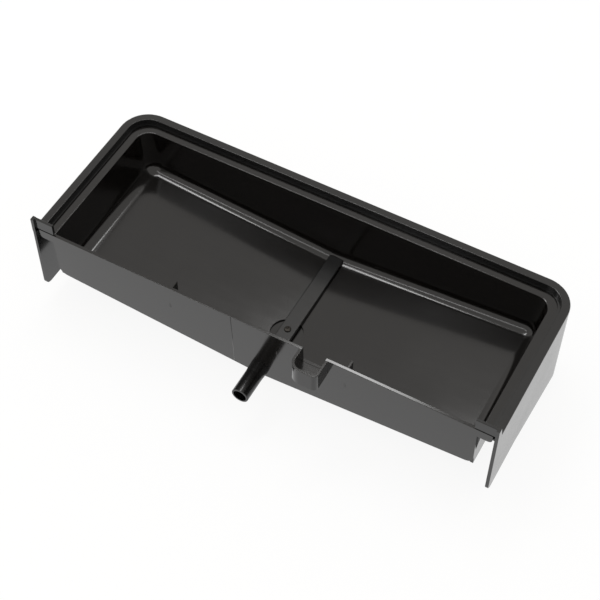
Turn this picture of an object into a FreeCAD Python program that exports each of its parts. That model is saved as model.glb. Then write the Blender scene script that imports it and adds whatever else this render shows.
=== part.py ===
import FreeCAD, Part
import math
import os

from FreeCAD import Vector as V

os.makedirs("parts", exist_ok=True)

# Sizes in mm. Working frame: X along the tray, Y from front to back, Z up,
# with the rim's top face at Z = 0 and the front wall's top edge near Y = 0.

# Surround: rim, side skirt and front ears
rim_length = 450.0
rim_back = 165.0
rim_corner_r = 28.0
rim_width = 7.6
rim_thick = 2.6
skirt_thick = 3.0
skirt_front_z = -80.0
skirt_back_z = -101.0
skirt_bend_y = 48.0
ear_front_y = -6.6
ear_top_z = 13.4
ear_top_y = 1.2
ear_tip_r = 7.0
post_width = 21.4
post_front_y = -4.7
post_thick = 2.6
post_bottom_z = 2.0
lip_width = 2.6
lip_top_z = -4.6
lip_thick = 1.2
step_wall_thick = 2.4
rail_reach = 10.2
rail_thick = 2.2
nib_pitch = 105.5
nib_width = 3.0
nib_height = 0.9
nib_depth = 1.6
rim_front_y = -0.6
rim_edge_r = 1.2
small_edge_r = 0.6
mouth_edge_r = 0.8
wall_edge_r = 0.3

# Basin
slide_gap = 0.3
ledge_z = -6.1
ledge_thick = 2.4
ledge_tuck = 2.6
mouth_inset = 17.6
mouth_corner_r = 14.0
basin_wall = 2.5
end_draft = 5.4
back_draft = 1.4
cove_r = 12.0
floor_centre_z = -69.5
floor_end_z = -53.6
floor_fall = 1.4
plate_top_y = -4.4
plate_thick = 2.8
plate_half = rim_length / 2 - 18.6
plate_lean = 2.6
plate_corner_r = 8.0
wing_half = rim_length / 2 - 5.4
wing_depth = 10.5
wing_r = 4.0
fin_x = 86.0
fin_thick = 1.6
fin_back_y = 9.8
fin_height = 22.0
bay_x = 56.5
bay_width = 27.0
bay_reach = 20.0
bay_depth = 19.5
bay_wall = 2.4
bay_left_r = 10.0
bay_right_r = 5.0
sump_r = 15.5
sump_y = 46.0
sump_depth = 0.35
sump_wall = 2.2
trough_half = 11.0
drain_x = 2.5
foot_x = plate_half
foot_thick = 3.0
foot_z = -58.5
foot_height = 36.0
foot_length = 125.0

# Drain spout
spout_z = -59.6
spout_r = 8.0
spout_root_r = 8.6
spout_bore_r = 6.2
spout_tip_y = -36.5
spout_grip = 24.0
collar_r = 9.4
collar_thick = 2.0
collar_gap = 0.3
press_gap = 0.02

# Channel cover and its screw
cover_width = 14.8
cover_top_z = -64.6
cover_front_y = 26.0
cover_channel_y = 134.0
cover_edge_r = 1.0
cover_skin = 1.6
cover_leg = 2.8
cover_gap = 0.3
screw_y = 48.0
screw_r = 1.6
screw_head_r = 3.2
screw_head_h = 1.3
screw_length = 6.0
screw_boss_r = 3.6
screw_boss_gap = 0.1


def box(x0, x1, y0, y1, z0, z1):
    return Part.makeBox(x1 - x0, y1 - y0, z1 - z0, V(x0, y0, z0))


def u_outline(hx, y_front, y_back, r, z):
    """Closed outline at height z: straight front edge, rounded back corners."""
    k = r * (1 - math.sqrt(0.5))
    a, b = V(-hx, y_front, z), V(-hx, y_back - r, z)
    c, d = V(-hx + r, y_back, z), V(hx - r, y_back, z)
    e, f = V(hx, y_back - r, z), V(hx, y_front, z)
    return Part.Wire([
        Part.LineSegment(a, b).toShape(),
        Part.Arc(b, V(-hx + k, y_back - k, z), c).toShape(),
        Part.LineSegment(c, d).toShape(),
        Part.Arc(d, V(hx - k, y_back - k, z), e).toShape(),
        Part.LineSegment(e, f).toShape(),
        Part.LineSegment(f, a).toShape(),
    ])


def u_slab(inset, y_front, z0, z1):
    hx = rim_length / 2 - inset
    wire = u_outline(hx, y_front, rim_back - inset, rim_corner_r - inset, z0)
    return Part.Face(wire).extrude(V(0, 0, z1 - z0))


def u_ring(outer, inner, y_front, z0, z1):
    """U-shaped band between two insets, open at the front."""
    hole = u_slab(inner, y_front - 10, z0 - 1, z1 + 1)
    return u_slab(outer, y_front, z0, z1).cut(hole)


def fillet_where(shape, radius, test):
    edges = [e for e in shape.Edges if test(e)]
    return shape.makeFillet(radius, edges)


def midpoint(edge):
    return edge.valueAt((edge.FirstParameter + edge.LastParameter) / 2)


def level_edge(z, tol=0.01):
    """Test for an edge that lies level at height z."""
    return lambda e: abs(e.BoundBox.ZMin - z) < tol and abs(e.BoundBox.ZMax - z) < tol


def skirt_profile():
    """Side view of the skirt in the YZ plane, as a solid across the tray."""
    y0, y1 = ear_front_y, rim_back + 5
    slope = (skirt_back_z - skirt_front_z) / (rim_back - skirt_bend_y)
    r = ear_tip_r
    pts = [
        V(0, y0, 0),
        V(0, y0, skirt_front_z + r),
        V(0, y0 + r, skirt_front_z),
        V(0, skirt_bend_y, skirt_front_z),
        V(0, y1, skirt_front_z + slope * (y1 - skirt_bend_y)),
        V(0, y1, 0),
    ]
    k = r * (1 - math.sqrt(0.5))
    tip = Part.Arc(pts[1], V(0, y0 + k, skirt_front_z + k), pts[2]).toShape()
    edges = [Part.LineSegment(pts[0], pts[1]).toShape(), tip]
    for a, b in zip(pts[2:], pts[3:] + pts[:1]):
        edges.append(Part.LineSegment(a, b).toShape())
    wire = Part.Wire(edges)
    body = Part.Face(wire).extrude(V(rim_length + 20, 0, 0))
    body.translate(V(-rim_length / 2 - 10, 0, 0))
    return body


def make_skirt():
    band = u_ring(0, skirt_thick, ear_front_y, skirt_back_z - 5, 0)
    skirt = band.common(skirt_profile())
    outer_x = rim_length / 2

    def outer_low(edge):
        mid = midpoint(edge)
        side = abs(abs(mid.x) - outer_x) < 0.1
        corner = edge.Length > 20 and mid.y > rim_back - rim_corner_r and abs(mid.x) > outer_x - 10
        back = abs(mid.y - rim_back) < 0.1
        return mid.z < -2 and (side or corner or back) and edge.BoundBox.ZLength < 60

    def upright(edge):
        mid = midpoint(edge)
        return abs(mid.y - ear_front_y) < 0.1 and abs(mid.x) > outer_x - 0.1 and edge.BoundBox.ZLength > 60

    return fillet_where(skirt, small_edge_r, lambda e: outer_low(e) or upright(e))


def make_post(side):
    """Raised corner: ear top and the upright plate beside it."""
    outer = rim_length / 2
    z0 = post_bottom_z
    plate = box(outer - post_width, outer - 0.5, post_front_y, post_front_y + post_thick, z0, ear_top_z)
    profile = [
        V(outer - skirt_thick, ear_front_y, -2),
        V(outer - skirt_thick, ear_top_y + 2, -2),
        V(outer - skirt_thick, ear_top_y, 0),
        V(outer - skirt_thick, ear_front_y + 4.5, ear_top_z),
        V(outer - skirt_thick, ear_front_y, ear_top_z),
    ]
    ear = Part.Face(Part.makePolygon(profile + profile[:1])).extrude(V(skirt_thick, 0, 0))
    post = plate.fuse(ear).removeSplitter()
    post = fillet_where(post, small_edge_r, lambda e: midpoint(e).z > ear_top_z - 0.1 and e.Length > 5)
    if side < 0:
        post = post.mirror(V(0, 0, 0), V(1, 0, 0))
    return post


def round_rim(body):
    """Round the rim's outer edge, then its inner edge."""
    outer_x = rim_length / 2
    inner_x = outer_x - rim_width
    arc_in = rim_corner_r * (1 - math.sqrt(0.5))
    at_top = level_edge(0)

    def outer_edge(edge):
        mid = midpoint(edge)
        side = abs(mid.x) > outer_x - 0.1
        back = mid.y > rim_back - 0.1
        corner = abs(abs(mid.x) - outer_x + arc_in) < 0.1
        return at_top(edge) and edge.Length > 30 and (side or back or corner)

    def inner_edge(edge):
        mid = midpoint(edge)
        inside = mid.y < rim_back - rim_width + 0.1
        on_line = abs(mid.x) < inner_x - 4 or abs(abs(mid.x) - inner_x) < 0.1
        return at_top(edge) and edge.Length > 20 and inside and on_line

    body = fillet_where(body, rim_edge_r, outer_edge)
    return fillet_where(body, small_edge_r, inner_edge)


def make_surround():
    rim = u_ring(0, rim_width, rim_front_y, -rim_thick, 0)
    step = u_ring(rim_width - step_wall_thick, rim_width, rim_front_y, lip_top_z - lip_thick, 0)
    lip_in = rim_width + lip_width
    lip = u_ring(rim_width - step_wall_thick, lip_in, rim_front_y, lip_top_z - lip_thick, lip_top_z)
    rail_top = ledge_z - ledge_thick - slide_gap
    rail = u_ring(skirt_thick - 0.5, rail_reach, rim_front_y, rail_top - rail_thick, rail_top)
    body = make_skirt().fuse([rim, step, lip, rail, make_post(1), make_post(-1)])
    nib_y = rim_back - rim_width
    nibs = []
    for i in (-1, 0, 1):
        x = i * nib_pitch
        half = nib_width / 2
        nib_top = lip_top_z + nib_height
        nibs.append(box(x - half, x + half, nib_y - nib_depth, nib_y + 1, lip_top_z - 0.5, nib_top))
    return round_rim(body.fuse(nibs).removeSplitter())


def flat_sided(first, last):
    """Solid with flat faces between two outlines of equally many points."""
    faces = [Part.Face(Part.makePolygon(row + row[:1])) for row in (first, last)]
    n = len(first)
    for i in range(n):
        j = (i + 1) % n
        quad = [first[i], first[j], last[j], last[i], first[i]]
        faces.append(Part.Face(Part.makePolygon(quad)))
    return Part.makeSolid(Part.makeShell(faces))


def floor_tool(offset):
    """Solid above the V-shaped floor, lowered by offset."""
    hx = 300.0
    end_x = rim_length / 2 - mouth_inset - end_draft
    slope = (floor_end_z - floor_centre_z) / end_x
    top = 40.0
    zc = floor_centre_z - offset
    ze = zc + slope * hx
    lean = floor_fall / (rim_back - mouth_inset)
    rows = []
    for y in (-40.0, 240.0):
        dz = lean * y
        rows.append([V(-hx, y, ze + dz), V(0, y, zc + dz), V(hx, y, ze + dz), V(hx, y, top), V(-hx, y, top)])
    return flat_sided(rows[0], rows[1])


def basin_section(offset, z):
    """Square-cornered inner outline at height z, drafted and grown by offset."""
    share = (ledge_z - z) / (ledge_z - floor_end_z)
    hx = rim_length / 2 - mouth_inset + offset - end_draft * share
    y_back = rim_back - mouth_inset + offset - back_draft * share
    return [V(-hx, -30, z), V(hx, -30, z), V(hx, y_back, z), V(-hx, y_back, z)]


def basin_body(offset, z_top, radius):
    """Drafted basin volume with rounded back corners and a coved floor, grown by offset."""
    body = flat_sided(basin_section(offset, z_top), basin_section(offset, floor_centre_z - 25))

    def back_corner(edge):
        return midpoint(edge).y > 30 and edge.BoundBox.ZLength > 50

    body = fillet_where(body, mouth_corner_r + offset, back_corner).common(floor_tool(offset))

    def at_floor(edge):
        mid = midpoint(edge)
        if mid.y < -25 or mid.z > ledge_z - 20:
            return False
        ends = [v.Point for v in edge.Vertexes]
        flat = abs(ends[0].z - ends[-1].z) < 25
        on_axis = all(abs(p.x) < 0.1 for p in ends)
        return flat and not on_axis

    return fillet_where(body, radius, at_floor)


def lean_plate(shape):
    """Lean a vertical front plate back about its top front edge."""
    shape.rotate(V(0, plate_top_y, 0), V(1, 0, 0), plate_lean)
    return shape


def plate_outline():
    drop = math.tan(math.radians(plate_lean))
    end_x = rim_length / 2 - mouth_inset - end_draft
    slope = (floor_end_z - floor_centre_z) / end_x
    zc = floor_centre_z - basin_wall
    ze = zc + slope * plate_half
    r = plate_corner_r
    pts = [V(-plate_half, plate_top_y, 0), V(-plate_half, plate_top_y, ze), V(0, plate_top_y, zc)]
    pts += [V(plate_half, plate_top_y, ze), V(plate_half, plate_top_y, 0)]
    slab = Part.Face(Part.makePolygon(pts + pts[:1])).extrude(V(0, plate_thick, 0))

    def corner(edge):
        mid = midpoint(edge)
        return abs(mid.z - ze) < 0.1 and abs(abs(mid.x) - plate_half) < 0.1

    slab = fillet_where(slab, r, corner)
    wings = []
    for side in (-1, 1):
        x0, x1 = sorted((side * (plate_half - 12), side * wing_half))
        wing = box(x0, x1, plate_top_y, plate_top_y + plate_thick, -wing_depth, 0)
        tip = side * wing_half

        def low_tip(edge):
            mid = midpoint(edge)
            return abs(mid.x - tip) < 0.1 and abs(mid.z + wing_depth) < 0.1

        wings.append(fillet_where(wing, wing_r, low_tip))
    return lean_plate(slab.fuse(wings).removeSplitter())


def behind_plate():
    """Half space behind the front plate's inner face."""
    half = box(-300, 300, plate_top_y + plate_thick, 300, -200, 60)
    return lean_plate(half)


def bay_solid(grow, z0, z1):
    hx = bay_width / 2 - bay_wall + grow
    y0 = plate_top_y - bay_reach + bay_wall - grow
    y1 = plate_top_y + 0.5
    if grow == 0:
        y1 = plate_top_y + 12
    body = box(bay_x - hx, bay_x + hx, y0, y1, z0, z1)

    def front_post(side):
        def test(edge):
            mid = midpoint(edge)
            return abs(mid.x - bay_x - side * hx) < 0.1 and abs(mid.y - y0) < 0.1
        return test

    body = fillet_where(body, bay_left_r - bay_wall + grow, front_post(-1))
    return fillet_where(body, bay_right_r - bay_wall + grow, front_post(1))


def make_flange():
    """Ledge round the mouth, tucked under the surround's lip."""
    outer_inset = rim_width + lip_width - ledge_tuck
    return u_slab(outer_inset, plate_top_y + plate_thick - 0.4, ledge_z - ledge_thick, ledge_z)


def make_fins():
    fins = []
    for side in (-1, 1):
        x = side * fin_x
        z0 = ledge_z - fin_height
        fins.append(box(x - fin_thick / 2, x + fin_thick / 2, plate_top_y + 1, fin_back_y, z0, ledge_z))
    return fins


def make_feet():
    """Rails that the basin slides and stands on, along the low end edges."""
    feet = []
    for side in (-1, 1):
        x0, x1 = sorted((side * (foot_x - foot_thick), side * foot_x))
        feet.append(box(x0, x1, 0, foot_length, foot_z, foot_z + foot_height))
    return feet


def sump_area(grow, z0, z1):
    """Round sump joined to the outlet by a short trough."""
    disc = Part.makeCylinder(sump_r + grow, z1 - z0, V(drain_x, sump_y, z0))
    half = trough_half + grow
    trough = box(drain_x - half, drain_x + half, -20, sump_y, z0, z1)
    return disc.fuse(trough).common(behind_plate())


def round_basin(body):
    """Round the mouth, then the top edges of the front wall and pocket."""
    mouth_x = rim_length / 2 - mouth_inset + 0.1
    at_ledge = level_edge(ledge_z)

    def mouth(edge):
        mid = midpoint(edge)
        inside = abs(mid.x) < mouth_x and mid.y < rim_back - mouth_inset + 0.1
        return at_ledge(edge) and edge.Length > 20 and inside

    body = fillet_where(body, mouth_edge_r, mouth)
    return fillet_where(body, wall_edge_r, lambda e: e.BoundBox.ZMin > -0.2 and e.Length > 3.5)


def make_basin():
    shell = basin_body(basin_wall, ledge_z - 1, cove_r + basin_wall).common(behind_plate())
    cavity = basin_body(0, 30, cove_r).common(behind_plate())
    sump_z = floor_centre_z - sump_depth
    cup = sump_area(sump_wall, sump_z - sump_wall, floor_centre_z + 1)
    body = shell.fuse([make_flange(), plate_outline(), cup] + make_feet()).cut(cavity)
    body = body.cut(sump_area(0, sump_z, floor_centre_z + 6))
    bay = bay_solid(bay_wall, -bay_depth, 0)
    pocket = bay_solid(0, -bay_depth + bay_wall, 5)
    body = body.fuse([bay] + make_fins()).cut(pocket)
    bore = Part.makeCylinder(spout_root_r + press_gap, 20, V(drain_x, -10, spout_z), V(0, 1, 0))
    boss_top = cover_top_z - cover_skin - screw_boss_gap
    boss = Part.makeCylinder(screw_boss_r, boss_top - sump_z + 1, V(drain_x, screw_y, sump_z - 1))
    screw_hole = Part.makeCylinder(screw_r + press_gap, 20, V(drain_x, screw_y, cover_top_z - screw_length))
    return round_basin(body.cut(bore).fuse(boss).cut(screw_hole).removeSplitter())


def plate_inner_y(z):
    return plate_top_y + plate_thick - z * math.tan(math.radians(plate_lean))


def end_edge(y):
    """Test for the outer round edge of a turned part's end face."""
    return lambda e: abs(e.BoundBox.YMax - y) < 0.01 and e.Length > 40


def make_spout():
    root = plate_inner_y(spout_z - collar_r) + collar_gap
    seat = plate_inner_y(spout_z) - plate_thick - 1
    cone_y = spout_tip_y + spout_grip
    along = V(0, 1, 0)
    grip = Part.makeCylinder(spout_r, spout_grip, V(drain_x, spout_tip_y, spout_z), along)
    grip = fillet_where(grip, 0.5, end_edge(spout_tip_y))
    flare = Part.makeCone(spout_r, spout_root_r, seat - cone_y, V(drain_x, cone_y, spout_z), along)
    root_tube = Part.makeCylinder(spout_root_r, root - seat, V(drain_x, seat, spout_z), along)
    collar = Part.makeCylinder(collar_r, collar_thick, V(drain_x, root, spout_z), along)
    bore = Part.makeCylinder(spout_bore_r, 60, V(drain_x, spout_tip_y - 5, spout_z), along)
    return grip.fuse([flare, root_tube, collar]).cut(bore).removeSplitter()


def make_cover():
    """Raised strip over the valley line, hollow beneath as the drain channel."""
    x0, x1 = drain_x - cover_width / 2, drain_x + cover_width / 2
    strip = box(x0, x1, cover_front_y, rim_back, floor_centre_z - 5, cover_top_z)
    strip = strip.common(basin_body(-cover_gap, 30, cove_r - cover_gap))
    channel = box(x0 + cover_leg, x1 - cover_leg, 0, cover_channel_y, -100, cover_top_z - cover_skin)
    hole = Part.makeCylinder(screw_r + press_gap, 20, V(drain_x, screw_y, cover_top_z - 10))
    strip = strip.cut(channel).cut(hole)

    on_top = level_edge(cover_top_z)
    return fillet_where(strip, cover_edge_r, lambda e: on_top(e) and e.Length > 50)


def make_screw():
    shank = Part.makeCylinder(screw_r, screw_length, V(drain_x, screw_y, cover_top_z - screw_length))
    head = Part.makeCylinder(screw_head_r, screw_head_h, V(drain_x, screw_y, cover_top_z))
    rim_z = cover_top_z + screw_head_h
    head = fillet_where(head, small_edge_r, lambda e: abs(e.BoundBox.ZMin - rim_z) < 0.01)
    return shank.fuse(head).removeSplitter()


nodes = {
    "surround": make_surround(),
    "basin": make_basin(),
    "drain_spout": make_spout(),
    "channel_cover": make_cover(),
    "cover_screw": make_screw(),
}

# The row's origin is the middle of the bounding box's base.
shift = V(0, -(spout_tip_y + rim_back) / 2, -skirt_back_z)
for name, shape in nodes.items():
    shape.translate(shift)
    shape.exportStep("parts/" + name + ".step")
    print(name, shape.isValid(), len(shape.Solids), round(shape.Volume), shape.BoundBox)
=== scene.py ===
# Drain tray of black moulded plastic: a fixed surround, a basin that slides
# out to the front, a pressed-in outlet spout and a screwed channel cover.
from math import cos, pi, radians, sin, tan

import bmesh
import bpy
from mathutils import Matrix, Vector


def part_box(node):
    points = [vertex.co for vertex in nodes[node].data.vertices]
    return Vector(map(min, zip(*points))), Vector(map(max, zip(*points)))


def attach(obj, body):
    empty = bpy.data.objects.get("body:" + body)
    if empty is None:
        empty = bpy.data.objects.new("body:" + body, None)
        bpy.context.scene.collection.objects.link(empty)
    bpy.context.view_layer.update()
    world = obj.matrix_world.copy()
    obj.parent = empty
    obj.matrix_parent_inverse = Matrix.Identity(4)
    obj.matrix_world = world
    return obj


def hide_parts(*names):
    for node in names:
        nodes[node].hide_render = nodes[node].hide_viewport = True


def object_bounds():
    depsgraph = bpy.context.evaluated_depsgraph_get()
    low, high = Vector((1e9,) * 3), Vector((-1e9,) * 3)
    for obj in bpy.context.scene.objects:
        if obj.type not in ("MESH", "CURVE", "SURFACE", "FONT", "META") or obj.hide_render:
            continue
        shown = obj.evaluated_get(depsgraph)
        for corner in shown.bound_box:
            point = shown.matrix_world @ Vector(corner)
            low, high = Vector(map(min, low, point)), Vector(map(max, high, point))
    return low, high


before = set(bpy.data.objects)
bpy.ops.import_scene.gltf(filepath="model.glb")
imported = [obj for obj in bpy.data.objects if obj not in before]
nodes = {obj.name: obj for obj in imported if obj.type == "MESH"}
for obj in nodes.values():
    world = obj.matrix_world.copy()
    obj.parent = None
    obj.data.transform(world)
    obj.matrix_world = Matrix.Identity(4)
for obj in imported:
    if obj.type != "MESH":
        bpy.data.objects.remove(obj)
cad_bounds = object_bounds()


# ---------------------------------------------------------------- surround
# The outer frame that stays put: rim, seat, skirt and ears in one moulding.
# Black ABS from a polished steel tool, used as it comes out, with no paint.

MM = 0.001
ABS_IOR = 1.52
COOLING_DRIFT = 70 * MM
POLISH_LINES = 4 * MM
TOOL_GRAIN = 1.5 * MM
GRAIN_HEIGHT = 0.02 * MM
GRAIN_STRENGTH = 0.015
POLISH_STRETCH = (0.06, 1.0, 1.0)
POLISH_SHARE = 0.3
GLOSS_SPREAD = (0.8, 1.25)
NOISE_RANGE = (0.3, 0.7)
SURROUND_BLACK = "#080808"
SURROUND_BLOOM = "#0e0e0e"
SURROUND_ROUGHNESS = 0.15


def linear(hex_colour):
    """sRGB hex to the linear colour that a shader socket takes."""
    channels = [int(hex_colour[i:i + 2], 16) / 255 for i in (1, 3, 5)]
    light = [c / 12.92 if c <= 0.04045 else ((c + 0.055) / 1.055) ** 2.4 for c in channels]
    return (*light, 1.0)


def add(tree, kind, settings, links=None):
    """Add a node. Settings are its properties or sockets; links feed its sockets."""
    new = tree.nodes.new(kind)
    for key, value in settings.items():
        if isinstance(key, str) and hasattr(new, key):
            setattr(new, key, value)
        else:
            new.inputs[key].default_value = value
    for key, source in (links or {}).items():
        tree.links.new(source, new.inputs[key])
    return new


def moulded_abs(name, black, bloom, roughness):
    """Gloss ABS: black, with a faint bloom and a gloss that drifts where the melt
    cooled more slowly, polishing lines from the tool, and a grain that softens
    highlights."""
    material = bpy.data.materials.new(name)
    material.use_nodes = True
    tree = material.node_tree
    tree.nodes.clear()
    place = add(tree, "ShaderNodeTexCoord", {}).outputs["Object"]
    drift = add(tree, "ShaderNodeTexNoise", {"Scale": 1 / COOLING_DRIFT, "Detail": 4.0},
                {"Vector": place})
    colour = add(tree, "ShaderNodeMixRGB", {"Color1": linear(black), "Color2": linear(bloom)},
                 {"Fac": drift.outputs["Fac"]})
    stretch = add(tree, "ShaderNodeMapping", {"Scale": POLISH_STRETCH}, {"Vector": place})
    lines = add(tree, "ShaderNodeTexNoise", {"Scale": 1 / POLISH_LINES, "Detail": 3.0},
                {"Vector": stretch.outputs["Vector"]})
    both = add(tree, "ShaderNodeMixRGB", {"Fac": POLISH_SHARE},
               {"Color1": drift.outputs["Fac"], "Color2": lines.outputs["Fac"]})
    gloss = add(tree, "ShaderNodeMapRange",
                {"From Min": NOISE_RANGE[0], "From Max": NOISE_RANGE[1],
                 "To Min": roughness * GLOSS_SPREAD[0], "To Max": roughness * GLOSS_SPREAD[1]},
                {"Value": both.outputs["Color"]})
    grain = add(tree, "ShaderNodeTexNoise", {"Scale": 1 / TOOL_GRAIN, "Detail": 2.0},
                {"Vector": place})
    bump = add(tree, "ShaderNodeBump", {"Strength": GRAIN_STRENGTH, "Distance": GRAIN_HEIGHT},
               {"Height": grain.outputs["Fac"]})
    shader = add(tree, "ShaderNodeBsdfPrincipled", {"IOR": ABS_IOR},
                 {"Base Color": colour.outputs["Color"], "Roughness": gloss.outputs["Result"],
                  "Normal": bump.outputs["Normal"]})
    add(tree, "ShaderNodeOutputMaterial", {}, {"Surface": shader.outputs["BSDF"]})
    return material


def give(node_name, material):
    """Give a CAD node its finish."""
    nodes[node_name].data.materials.clear()
    nodes[node_name].data.materials.append(material)


surround_abs = moulded_abs("moulded_abs_surround", SURROUND_BLACK, SURROUND_BLOOM,
                           SURROUND_ROUGHNESS)
give("surround", surround_abs)


# ------------------------------------------------------------------- basin
# The sliding basin: front wall, finger pocket, V floor and flange in one
# black ABS moulding. Its floor is a little warmer than the surround.

BASIN_BLACK = "#080706"
BASIN_BLOOM = "#0e0c0b"
BASIN_ROUGHNESS = 0.13

basin_abs = moulded_abs("moulded_abs_basin", BASIN_BLACK, BASIN_BLOOM, BASIN_ROUGHNESS)
give("basin", basin_abs)


# ----------------------------------------------------- front wall markings
# Two low lines that the tool leaves on the front wall: the joint between
# two tool inserts, full height, and a short rib beside the outlet.

EAR_PROUD = 2.2 * MM
EAR_RISE = 13.4 * MM
WALL_LEAN = radians(2.6)
INSERT_LINE_X = -23.5 * MM
INSERT_LINE_WIDTH = 0.6 * MM
INSERT_LINE_PROUD = 0.16 * MM
SIDE_RIB_X = 21 * MM
SIDE_RIB_WIDTH = 0.9 * MM
SIDE_RIB_PROUD = 0.5 * MM
INSERT_LINE_DROPS = (0.8 * MM, 69.5 * MM)
SIDE_RIB_DROPS = (21 * MM, 31 * MM)
EMBED = 0.3 * MM
ROUNDED_SHARE = 0.45

surround_low, surround_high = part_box("surround")
wall_y = surround_low.y + EAR_PROUD
wall_top = surround_high.z - EAR_RISE


def wall_line(name, x, width, proud, drops):
    """Rounded upright bead on the leaning front wall, between two drops from its top."""
    b = bmesh.new()
    bmesh.ops.create_cube(b, size=1.0)
    top, bottom = (wall_top - drop for drop in drops)
    length = (top - bottom) / cos(WALL_LEAN)
    bmesh.ops.scale(b, vec=(width, proud + EMBED, length), verts=b.verts)
    bmesh.ops.translate(b, vec=(0, (EMBED - proud) / 2, -length / 2), verts=b.verts)
    bmesh.ops.bevel(b, geom=b.edges[:], offset=proud * ROUNDED_SHARE, segments=3,
                     affect="EDGES")
    turn = Matrix.Rotation(WALL_LEAN, 4, "X")
    start = Vector((x, wall_y + (wall_top - top) * tan(WALL_LEAN), top))
    b.transform(Matrix.Translation(start) @ turn)
    mesh = bpy.data.meshes.new(name)
    b.to_mesh(mesh)
    b.free()
    for face in mesh.polygons:
        face.use_smooth = True
    mesh.materials.append(basin_abs)
    piece = bpy.data.objects.new(name, mesh)
    bpy.context.scene.collection.objects.link(piece)
    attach(piece, "basin")


wall_line("insert_line", INSERT_LINE_X, INSERT_LINE_WIDTH, INSERT_LINE_PROUD,
          INSERT_LINE_DROPS)
wall_line("side_rib", SIDE_RIB_X, SIDE_RIB_WIDTH, SIDE_RIB_PROUD, SIDE_RIB_DROPS)


# ------------------------------------------------------------ outlet spout
# Tube that the drain hose pushes onto, pressed in through the front wall.
# Moulded ABS of a deeper black, slightly duller than the basin.

SPOUT_BLACK = "#050505"
SPOUT_BLOOM = "#090909"
SPOUT_ROUGHNESS = 0.24

spout_abs = moulded_abs("moulded_abs_spout", SPOUT_BLACK, SPOUT_BLOOM, SPOUT_ROUGHNESS)
give("drain_spout", spout_abs)


# ----------------------------------------------------------- channel cover
# Raised strip along the valley, hollow beneath, that water drains under.
# Moulded ABS like the basin, neutral in tone and a little duller.

COVER_BLACK = "#0a0a0a"
COVER_BLOOM = "#101010"
COVER_ROUGHNESS = 0.21

cover_abs = moulded_abs("moulded_abs_cover", COVER_BLACK, COVER_BLOOM, COVER_ROUGHNESS)
give("channel_cover", cover_abs)


# ------------------------------------------------------------- cover screw
# Small pan-head steel screw with a cross recess, chemically blackened.
# The blackening is thin, so the head keeps a dull metal sheen.

SCREW_BLACK = "#1e1d1c"
SCREW_RUBBED = "#45423e"
SCREW_ROUGHNESS = 0.38
SCREW_GLOSS_SPREAD = (1.2, 0.7)
WEAR_PATCHES = 1.2 * MM
HEAD_HEIGHT = 1.3 * MM
HEAD_RIM = 0.3 * MM
CROWN_FULLNESS = 0.6
CROWN_STEPS = 8
SHANK_RADIUS = 1.6 * MM
TIP_CHAMFER = 0.4 * MM
TIP_SHARE = 0.8
TURN_STEPS = 48
RECESS_HALF_LENGTH = 1.7 * MM
RECESS_HALF_WIDTH = 0.38 * MM
RECESS_DEPTH = 0.9 * MM
SHARP_FROM = radians(35)

screw_low, screw_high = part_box("cover_screw")
head_radius = (screw_high.x - screw_low.x) / 2
screw_x = (screw_high.x + screw_low.x) / 2
screw_y = (screw_high.y + screw_low.y) / 2
seat_z = screw_high.z - HEAD_HEIGHT

profile = [(0, screw_low.z), (SHANK_RADIUS * TIP_SHARE, screw_low.z),
           (SHANK_RADIUS, screw_low.z + TIP_CHAMFER), (SHANK_RADIUS, seat_z),
           (head_radius, seat_z)]
for i in range(CROWN_STEPS + 1):
    turn = i / CROWN_STEPS * pi / 2
    profile.append((head_radius * cos(turn) ** CROWN_FULLNESS,
                    seat_z + HEAD_RIM + (HEAD_HEIGHT - HEAD_RIM) * sin(turn)))
b = bmesh.new()
ring = [b.verts.new((r, 0, z)) for r, z in profile]
path = [b.edges.new(pair) for pair in zip(ring, ring[1:])]
bmesh.ops.spin(b, geom=ring + path, cent=(0, 0, 0), axis=(0, 0, 1), angle=2 * pi,
               steps=TURN_STEPS)
bmesh.ops.remove_doubles(b, verts=b.verts, dist=1e-6)
bmesh.ops.recalc_face_normals(b, faces=b.faces)
bmesh.ops.translate(b, vec=(screw_x, screw_y, 0), verts=b.verts)
mesh = bpy.data.meshes.new("cover_screw_head")
b.to_mesh(mesh)
b.free()
screw = bpy.data.objects.new("cover_screw_head", mesh)
bpy.context.scene.collection.objects.link(screw)

b = bmesh.new()
for half_x, half_y in ((RECESS_HALF_LENGTH, RECESS_HALF_WIDTH),
                       (RECESS_HALF_WIDTH, RECESS_HALF_LENGTH)):
    made = bmesh.ops.create_cube(b, size=2.0)["verts"]
    bmesh.ops.scale(b, vec=(half_x, half_y, RECESS_DEPTH), verts=made)
    bmesh.ops.translate(b, vec=(screw_x, screw_y, screw_high.z), verts=made)
cutter_mesh = bpy.data.meshes.new("recess")
b.to_mesh(cutter_mesh)
b.free()
cutter = bpy.data.objects.new("recess", cutter_mesh)
bpy.context.scene.collection.objects.link(cutter)
cut = screw.modifiers.new("recess", "BOOLEAN")
cut.operation = "DIFFERENCE"
cut.use_self = True
cut.object = cutter
bpy.context.view_layer.update()
solved = screw.evaluated_get(bpy.context.evaluated_depsgraph_get())
with_recess = bpy.data.meshes.new_from_object(solved)
screw.modifiers.clear()
screw.data = with_recess
bpy.data.objects.remove(cutter)
with_recess.shade_smooth()
with_recess.set_sharp_from_angle(angle=SHARP_FROM)

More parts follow.
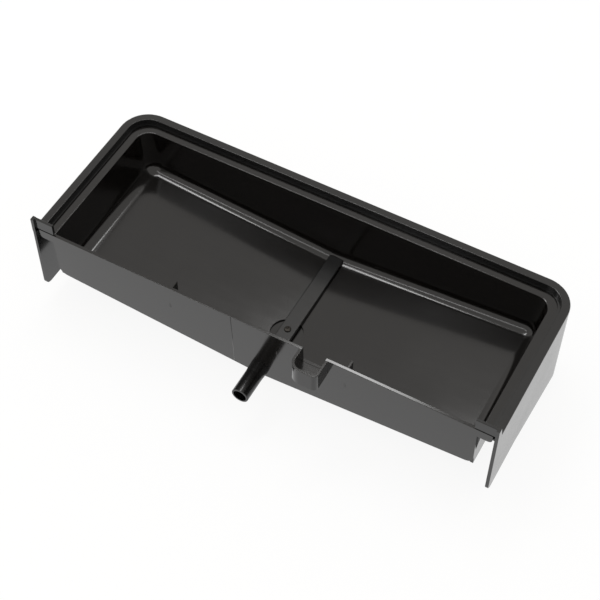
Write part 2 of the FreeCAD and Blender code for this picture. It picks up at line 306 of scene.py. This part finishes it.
steel = bpy.data.materials.new("blackened_steel")
steel.use_nodes = True
tree = steel.node_tree
tree.nodes.clear()
place = add(tree, "ShaderNodeTexCoord", {}).outputs["Object"]
wear = add(tree, "ShaderNodeTexNoise", {"Scale": 1 / WEAR_PATCHES, "Detail": 5.0},
           {"Vector": place})
colour = add(tree, "ShaderNodeMixRGB",
             {"Color1": linear(SCREW_BLACK), "Color2": linear(SCREW_RUBBED)},
             {"Fac": wear.outputs["Fac"]})
gloss = add(tree, "ShaderNodeMapRange",
            {"To Min": SCREW_ROUGHNESS * SCREW_GLOSS_SPREAD[0],
             "To Max": SCREW_ROUGHNESS * SCREW_GLOSS_SPREAD[1]},
            {"Value": wear.outputs["Fac"]})
shader = add(tree, "ShaderNodeBsdfPrincipled", {"Metallic": 1.0},
             {"Base Color": colour.outputs["Color"], "Roughness": gloss.outputs["Result"]})
add(tree, "ShaderNodeOutputMaterial", {}, {"Surface": shader.outputs["BSDF"]})
with_recess.materials.clear()
with_recess.materials.append(steel)
give("cover_screw", steel)
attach(screw, "basin")
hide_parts("cover_screw")


# ------------------------------------------------------------ paper floor
# White paper that the tray stands on. It keeps a soft shadow, and glows
# enough for direct and reflected rays to find it nearly pure white.

FLOOR_HALF = 4.0
PAPER_WHITE = "#f4f4f3"
SELF_LIT_SHARE = 0.9
FLOOR_DROP = 0.1 * MM

low, high = (Vector(corner) for corner in cad_bounds)
middle = (low + high) / 2
b = bmesh.new()
bmesh.ops.create_grid(b, x_segments=1, y_segments=1, size=FLOOR_HALF)
floor_mesh = bpy.data.meshes.new("paper_floor")
b.to_mesh(floor_mesh)
b.free()
floor = bpy.data.objects.new("paper_floor", floor_mesh)
floor.location.z = low.z - FLOOR_DROP
bpy.context.scene.collection.objects.link(floor)

paper = bpy.data.materials.new("white_paper")
paper.use_nodes = True
tree = paper.node_tree
tree.nodes.clear()
matt = add(tree, "ShaderNodeBsdfDiffuse", {"Color": linear(PAPER_WHITE)})
white = add(tree, "ShaderNodeEmission", {"Strength": 1.0})
ray = add(tree, "ShaderNodeLightPath", {})
straight = add(tree, "ShaderNodeMath", {"operation": "MAXIMUM"},
               {0: ray.outputs["Is Camera Ray"], 1: ray.outputs["Is Glossy Ray"]})
seen = add(tree, "ShaderNodeMath", {"operation": "MAXIMUM"},
           {0: straight.outputs[0], 1: ray.outputs["Is Transmission Ray"]})
share = add(tree, "ShaderNodeMath", {"operation": "MULTIPLY", 1: SELF_LIT_SHARE},
            {0: seen.outputs[0]})
mixed = add(tree, "ShaderNodeMixShader", {},
            {0: share.outputs[0], 1: matt.outputs[0], 2: white.outputs[0]})
add(tree, "ShaderNodeOutputMaterial", {}, {"Surface": mixed.outputs[0]})
floor_mesh.materials.append(paper)


# ------------------------------------------------------------------ lights
# A white room, one broad soft lamp overhead, and a narrower one in front of
# it on the left. Their long edges draw the thin highlights in the coves.

ROOM_WHITE = "#fffcf8"
ROOM_STRENGTH = 0.95
LAMP_REACH = 1.3
TOP_TOWARD = Vector((-0.286, 0.215, 0.934))
TOP_SIZE = (0.9, 0.14)
TOP_POWER = 4.5
FRONT_TOWARD = Vector((-0.286, -0.434, 0.853))
FRONT_SIZE = (0.5, 0.06)
FRONT_POWER = 0.7

room = bpy.data.worlds.new("white_room")
bpy.context.scene.world = room
room.use_nodes = True
tree = room.node_tree
tree.nodes.clear()
air = add(tree, "ShaderNodeBackground",
          {"Color": linear(ROOM_WHITE), "Strength": ROOM_STRENGTH})
add(tree, "ShaderNodeOutputWorld", {}, {"Surface": air.outputs[0]})


def soft_lamp(name, toward, size, power):
    """Rectangular lamp in the given direction from the tray, facing it."""
    lamp = bpy.data.lights.new(name, "AREA")
    lamp.shape = "RECTANGLE"
    lamp.size, lamp.size_y = size
    lamp.energy = power
    holder = bpy.data.objects.new(name, lamp)
    holder.location = middle + toward.normalized() * LAMP_REACH
    holder.rotation_euler = (-toward).to_track_quat("-Z", "Y").to_euler()
    bpy.context.scene.collection.objects.link(holder)


soft_lamp("top_lamp", TOP_TOWARD, TOP_SIZE, TOP_POWER)
soft_lamp("front_lamp", FRONT_TOWARD, FRONT_SIZE, FRONT_POWER)


# ------------------------------------------------------------------ camera
# A little to the right of the front and well above, with a long lens.

AZIMUTH = radians(28.75)
ELEVATION = radians(53.45)
ROLL = radians(0.27)
DISTANCE = 1.230
SENSOR_WIDTH = 36
FOCAL_LENGTH = 87.73
AIM_OFFSET = Vector((0.0238, -0.0324, 0.0561))

back = Vector((sin(AZIMUTH) * cos(ELEVATION), -cos(AZIMUTH) * cos(ELEVATION),
               sin(ELEVATION)))
level = Vector((cos(AZIMUTH), sin(AZIMUTH), 0))
upright = back.cross(level)
across = cos(ROLL) * level + sin(ROLL) * upright
upward = cos(ROLL) * upright - sin(ROLL) * level
lens = bpy.data.cameras.new("camera")
lens.sensor_width = SENSOR_WIDTH
lens.lens = FOCAL_LENGTH
camera = bpy.data.objects.new("camera", lens)
turned = Matrix((across, upward, back)).transposed().to_4x4()
camera.matrix_world = Matrix.Translation(middle + AIM_OFFSET + back * DISTANCE) @ turned
bpy.context.scene.collection.objects.link(camera)
bpy.context.scene.camera = camera
bpy.context.scene.view_settings.view_transform = "Standard"
